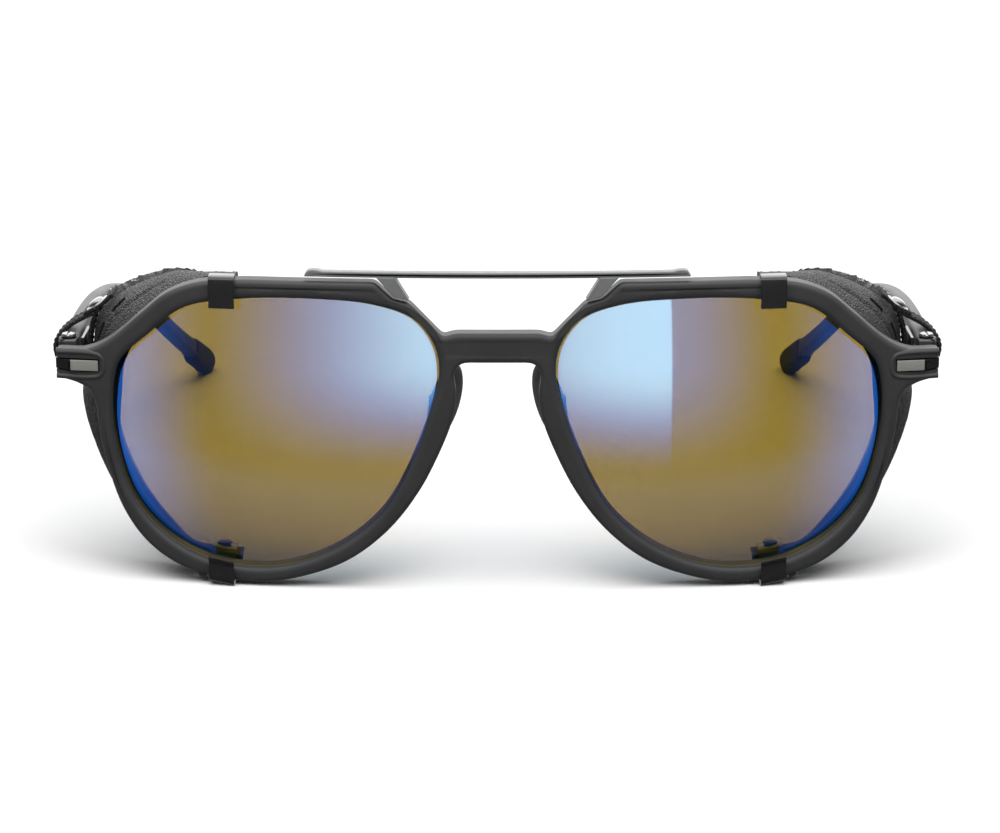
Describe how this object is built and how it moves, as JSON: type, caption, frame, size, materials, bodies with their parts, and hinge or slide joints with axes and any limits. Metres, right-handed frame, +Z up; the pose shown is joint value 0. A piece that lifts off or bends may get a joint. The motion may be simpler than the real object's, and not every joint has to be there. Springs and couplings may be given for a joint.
{
  "type": "glacier glasses",
  "caption": "Double-bridge sunglasses with mirrored lenses, folding temples and clip-on leather side shields.",
  "frame": {"origin": "middle of the bounding box, on the surface that the glasses stand on", "axes": "+Z up, the front faces -Y, the temples run back along +Y, +X is the wearer's left"},
  "size_m": [0.1486, 0.1488, 0.0531],
  "materials": {
    "frame_moulding": "matte moulded nylon",
    "brow_metal": "satin dark grey",
    "lens": "amber with a blue mirror coating",
    "rubber": "matte",
    "plate_metal": "fine brushed",
    "hinge_steel": "satin",
    "hide": "pebbled grain",
    "hide_lining": "matte lining",
    "clip_metal": "black polished plating"
  },
  "bodies": {
    "front": {"front_frame": "frame_moulding", "brow_bar": "brow_metal", "lens_left": "lens", "lens_right": "lens", "nose_pad_left": "rubber", "nose_pad_right": "rubber", "endpiece_plate_left": "plate_metal", "endpiece_plate_right": "plate_metal", "hinge_front_leaf_left": "hinge_steel", "hinge_front_leaf_right": "hinge_steel", "hinge_screw_left": "hinge_steel", "hinge_screw_right": "hinge_steel", "shield_outer_left": "hide", "shield_outer_right": "hide", "shield_lining_left": "hide_lining", "shield_lining_right": "hide_lining", "shield_clip_top_left": "clip_metal", "shield_clip_top_right": "clip_metal", "shield_clip_bottom_left": "clip_metal", "shield_clip_bottom_right": "clip_metal", "shield_rivet_top_left": "clip_metal", "shield_rivet_top_right": "clip_metal", "shield_rivet_bottom_left": "clip_metal", "shield_rivet_bottom_right": "clip_metal"},
    "temple_left": {"hinge_temple_leaf_left": "hinge_steel", "temple_arm_left": "frame_moulding", "temple_tip_left": "rubber", "temple_strap_left": "hide", "strap_snap_left": "clip_metal"},
    "temple_right": {"hinge_temple_leaf_right": "hinge_steel", "temple_arm_right": "frame_moulding", "temple_tip_right": "rubber", "temple_strap_right": "hide", "strap_snap_right": "clip_metal"}
  },
  "joints": [
    {"name": "temple_left_fold", "type": "hinge", "parent": "front", "child": "temple_left", "pos_m": [0.071, -0.0588, 0.0365], "axis": [0, 0, 1], "range_deg": [0, 84], "deforming": ["shield_outer_left", "shield_lining_left"]},
    {"name": "temple_right_fold", "type": "hinge", "parent": "front", "child": "temple_right", "pos_m": [-0.071, -0.0588, 0.0365], "axis": [0, 0, -1], "range_deg": [0, 78], "deforming": ["shield_outer_right", "shield_lining_right"]}
  ]
}
